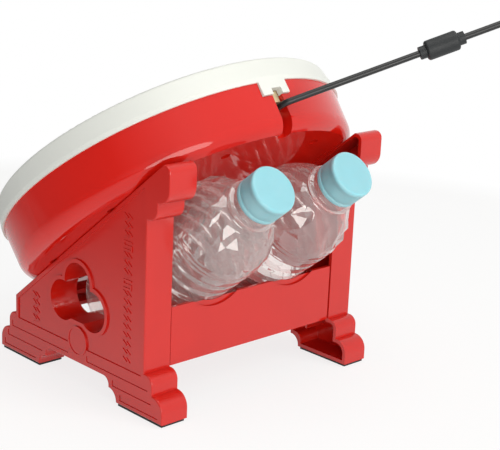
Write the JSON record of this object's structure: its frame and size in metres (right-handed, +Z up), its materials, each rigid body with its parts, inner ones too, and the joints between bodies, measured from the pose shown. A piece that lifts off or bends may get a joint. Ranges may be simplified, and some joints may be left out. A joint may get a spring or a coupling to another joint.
{
  "type": "drum game controller",
  "caption": "Round drum-shaped game controller on a sloping stand with scroll feet, with two bottles in it as ballast and a corded plug.",
  "frame": {"origin": "on the floor, under the middle of the product's box without its cable", "axes": "+Z up; the player sits at -Y; +X is the player's right"},
  "size_m": [0.2543, 0.3087, 0.259],
  "materials": {
    "red_shell": "glossy moulded ABS, bright red",
    "white_rim": "smooth moulded ABS, white",
    "head_skin": "ivory elastomer skin",
    "pad_rubber": "black rubber",
    "grey_deck": "dark grey moulded plastic",
    "foam": "black sponge rubber",
    "sensor_brass": "brass disc",
    "board": "green laminate",
    "membrane": "grey silicone rubber",
    "screw_steel": "zinc-plated steel",
    "grommet": "beige moulded plastic",
    "cable_black": "black flexible jacket",
    "plug_steel": "plated steel",
    "button_grey": "dark grey moulded plastic",
    "bottle_clear": "clear blow-moulded bottle wall",
    "cap_blue": "light blue moulded cap"
  },
  "bodies": {
    "stand": {"side_frame_left": "red_shell", "side_frame_right": "red_shell", "foot_pad_front_left": "pad_rubber", "foot_pad_front_right": "pad_rubber", "foot_pad_rear_left": "pad_rubber", "foot_pad_rear_right": "pad_rubber", "bottle_cradle": "red_shell", "front_rail": "red_shell", "stand_screws": "screw_steel"},
    "drum": {"drum_shell": "red_shell", "rim_ring": "white_rim", "inner_deck": "grey_deck", "head_foam": "foam", "edge_foam": "foam", "sensor_discs": "sensor_brass", "circuit_board": "board", "button_membrane": "membrane", "drum_screws": "screw_steel", "rim_screws": "screw_steel", "strain_relief": "grommet", "usb_cable": "cable_black", "ferrite_core": "cable_black", "usb_plug_body": "cable_black", "usb_plug_shell": "plug_steel"},
    "head_left": {"head_left": "head_skin"},
    "head_right": {"head_right": "head_skin"},
    "edge_left": {"edge_left": "head_skin"},
    "edge_right": {"edge_right": "head_skin"},
    "direction_pad": {"direction_pad": "button_grey"},
    "button_right": {"button_right": "button_grey"},
    "button_top": {"button_top": "button_grey"},
    "button_left": {"button_left": "button_grey"},
    "button_bottom": {"button_bottom": "button_grey"},
    "minus_button": {"minus_button": "button_grey"},
    "capture_button": {"capture_button": "button_grey"},
    "home_button": {"home_button": "button_grey"},
    "plus_button": {"plus_button": "button_grey"},
    "bottle_left": {"bottle_left": "bottle_clear"},
    "cap_left": {"cap_left": "cap_blue"},
    "bottle_right": {"bottle_right": "bottle_clear"},
    "cap_right": {"cap_right": "cap_blue"}
  },
  "joints": [
    {"name": "drum_lift", "type": "slide", "parent": "stand", "child": "drum", "axis": [0, -0.6225, 0.7826], "range_m": [0, 0.06]},
    {"name": "head_left_press", "type": "slide", "parent": "drum", "child": "head_left", "axis": [0, -0.6225, 0.7826], "range_m": [-0.001, 0], "stiffness_N_per_m": 8000, "springref_m": 0.0006},
    {"name": "head_right_press", "type": "slide", "parent": "drum", "child": "head_right", "axis": [0, -0.6225, 0.7826], "range_m": [-0.001, 0], "stiffness_N_per_m": 8000, "springref_m": 0.0006},
    {"name": "edge_left_press", "type": "slide", "parent": "drum", "child": "edge_left", "axis": [0, -0.6225, 0.7826], "range_m": [-0.001, 0], "stiffness_N_per_m": 4000, "springref_m": 0.0006},
    {"name": "edge_right_press", "type": "slide", "parent": "drum", "child": "edge_right", "axis": [0, -0.6225, 0.7826], "range_m": [-0.001, 0], "stiffness_N_per_m": 4000, "springref_m": 0.0006},
    {"name": "direction_pad_press", "type": "slide", "parent": "drum", "child": "direction_pad", "axis": [0, -0.6225, 0.7826], "range_m": [-0.001, 0], "stiffness_N_per_m": 150, "springref_m": 0.0006},
    {"name": "button_right_press", "type": "slide", "parent": "drum", "child": "button_right", "axis": [0, -0.6225, 0.7826], "range_m": [-0.001, 0], "stiffness_N_per_m": 150, "springref_m": 0.0006},
    {"name": "button_top_press", "type": "slide", "parent": "drum", "child": "button_top", "axis": [0, -0.6225, 0.7826], "range_m": [-0.001, 0], "stiffness_N_per_m": 150, "springref_m": 0.0006},
    {"name": "button_left_press", "type": "slide", "parent": "drum", "child": "button_left", "axis": [0, -0.6225, 0.7826], "range_m": [-0.001, 0], "stiffness_N_per_m": 150, "springref_m": 0.0006},
    {"name": "button_bottom_press", "type": "slide", "parent": "drum", "child": "button_bottom", "axis": [0, -0.6225, 0.7826], "range_m": [-0.001, 0], "stiffness_N_per_m": 150, "springref_m": 0.0006},
    {"name": "minus_button_press", "type": "slide", "parent": "drum", "child": "minus_button", "axis": [0, -0.6225, 0.7826], "range_m": [-0.001, 0], "stiffness_N_per_m": 150, "springref_m": 0.0006},
    {"name": "capture_button_press", "type": "slide", "parent": "drum", "child": "capture_button", "axis": [0, -0.6225, 0.7826], "range_m": [-0.001, 0], "stiffness_N_per_m": 150, "springref_m": 0.0006},
    {"name": "home_button_press", "type": "slide", "parent": "drum", "child": "home_button", "axis": [0, -0.6225, 0.7826], "range_m": [-0.001, 0], "stiffness_N_per_m": 150, "springref_m": 0.0006},
    {"name": "plus_button_press", "type": "slide", "parent": "drum", "child": "plus_button", "axis": [0, -0.6225, 0.7826], "range_m": [-0.001, 0], "stiffness_N_per_m": 150, "springref_m": 0.0006},
    {"name": "bottle_left_slide", "type": "slide", "parent": "stand", "child": "bottle_left", "axis": [0, 0.7826, 0.6225], "range_m": [0, 0.14]},
    {"name": "cap_left_turn", "type": "hinge", "parent": "bottle_left", "child": "cap_left", "pos_m": [-0.0332, 0.10112, 0.13691], "axis": [0, 0.7826, 0.6225], "range_deg": [0, 360]},
    {"name": "bottle_right_slide", "type": "slide", "parent": "stand", "child": "bottle_right", "axis": [0, 0.7826, 0.6225], "range_m": [0, 0.14]},
    {"name": "cap_right_turn", "type": "hinge", "parent": "bottle_right", "child": "cap_right", "pos_m": [0.0332, 0.10112, 0.13691], "axis": [0, 0.7826, 0.6225], "range_deg": [0, 360]}
  ]
}
